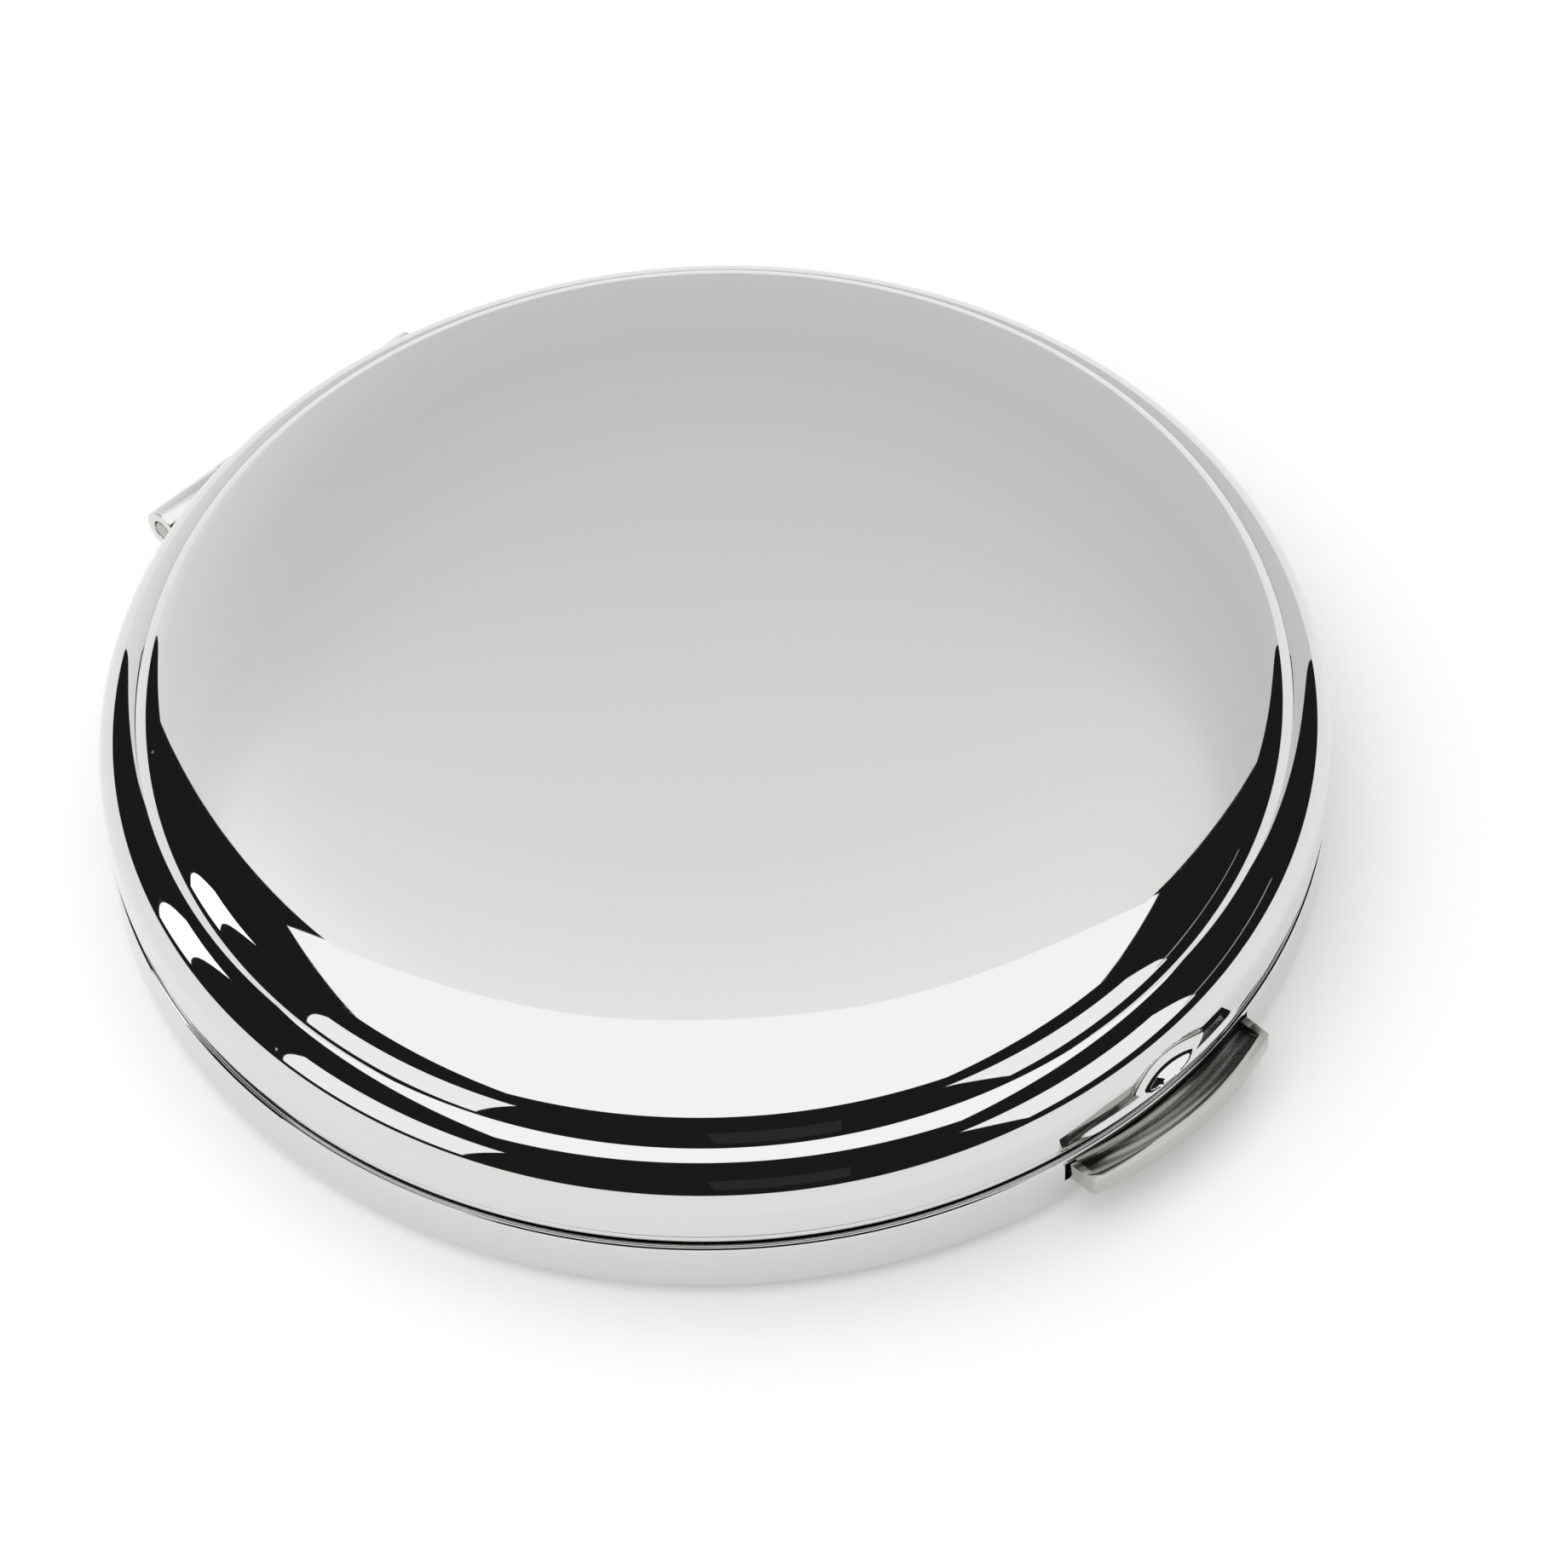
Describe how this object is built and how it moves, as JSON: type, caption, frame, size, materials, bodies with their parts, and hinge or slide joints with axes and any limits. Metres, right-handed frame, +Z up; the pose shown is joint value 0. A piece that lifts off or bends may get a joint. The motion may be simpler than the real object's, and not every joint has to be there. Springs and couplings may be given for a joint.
{
  "type": "pill box",
  "caption": "Round slim metal pill box with a domed stepped lid, barrel hinge, push catch, lid mirror and a divided insert.",
  "frame": {"origin": "centre of the base's flat underside", "axes": "+Z up out of the lid, +Y towards the hinge, -Y towards the thumb catch"},
  "size_m": [0.06, 0.0637, 0.0115],
  "materials": {
    "polished_chrome": "mirror polished chrome plating",
    "spring_steel": "satin rolled steel",
    "mirror_glass": "silvered float glass",
    "backing_board": "plain grey board",
    "moulded_plastic": "fine satin moulding"
  },
  "bodies": {
    "base": {"base_pan": "polished_chrome", "base_rim_ring": "polished_chrome", "base_hinge_leaf": "polished_chrome", "hinge_pin": "spring_steel", "catch_housing": "spring_steel", "catch_spring_left": "spring_steel", "catch_spring_right": "spring_steel", "pill_tray": "moulded_plastic", "tray_divider": "moulded_plastic"},
    "lid": {"lid_shell": "polished_chrome", "lid_rim_ring": "polished_chrome", "lid_hinge_leaf": "polished_chrome", "mirror": "mirror_glass", "mirror_pad": "backing_board", "lid_strike": "spring_steel", "strike_rivet_left": "spring_steel", "strike_rivet_right": "spring_steel"},
    "catch": {"thumb_catch": "polished_chrome"}
  },
  "joints": [
    {"name": "lid_hinge", "type": "hinge", "parent": "base", "child": "lid", "pos_m": [0, 0.0308, 0.0038], "axis": [-1, 0, 0], "range_deg": [0, 105]},
    {"name": "catch_push", "type": "slide", "parent": "base", "child": "catch", "axis": [0, 1, 0], "range_m": [0, 0.0008], "stiffness_N_per_m": 300, "springref_m": -0.002, "deforming": ["catch_spring_left", "catch_spring_right"]}
  ]
}
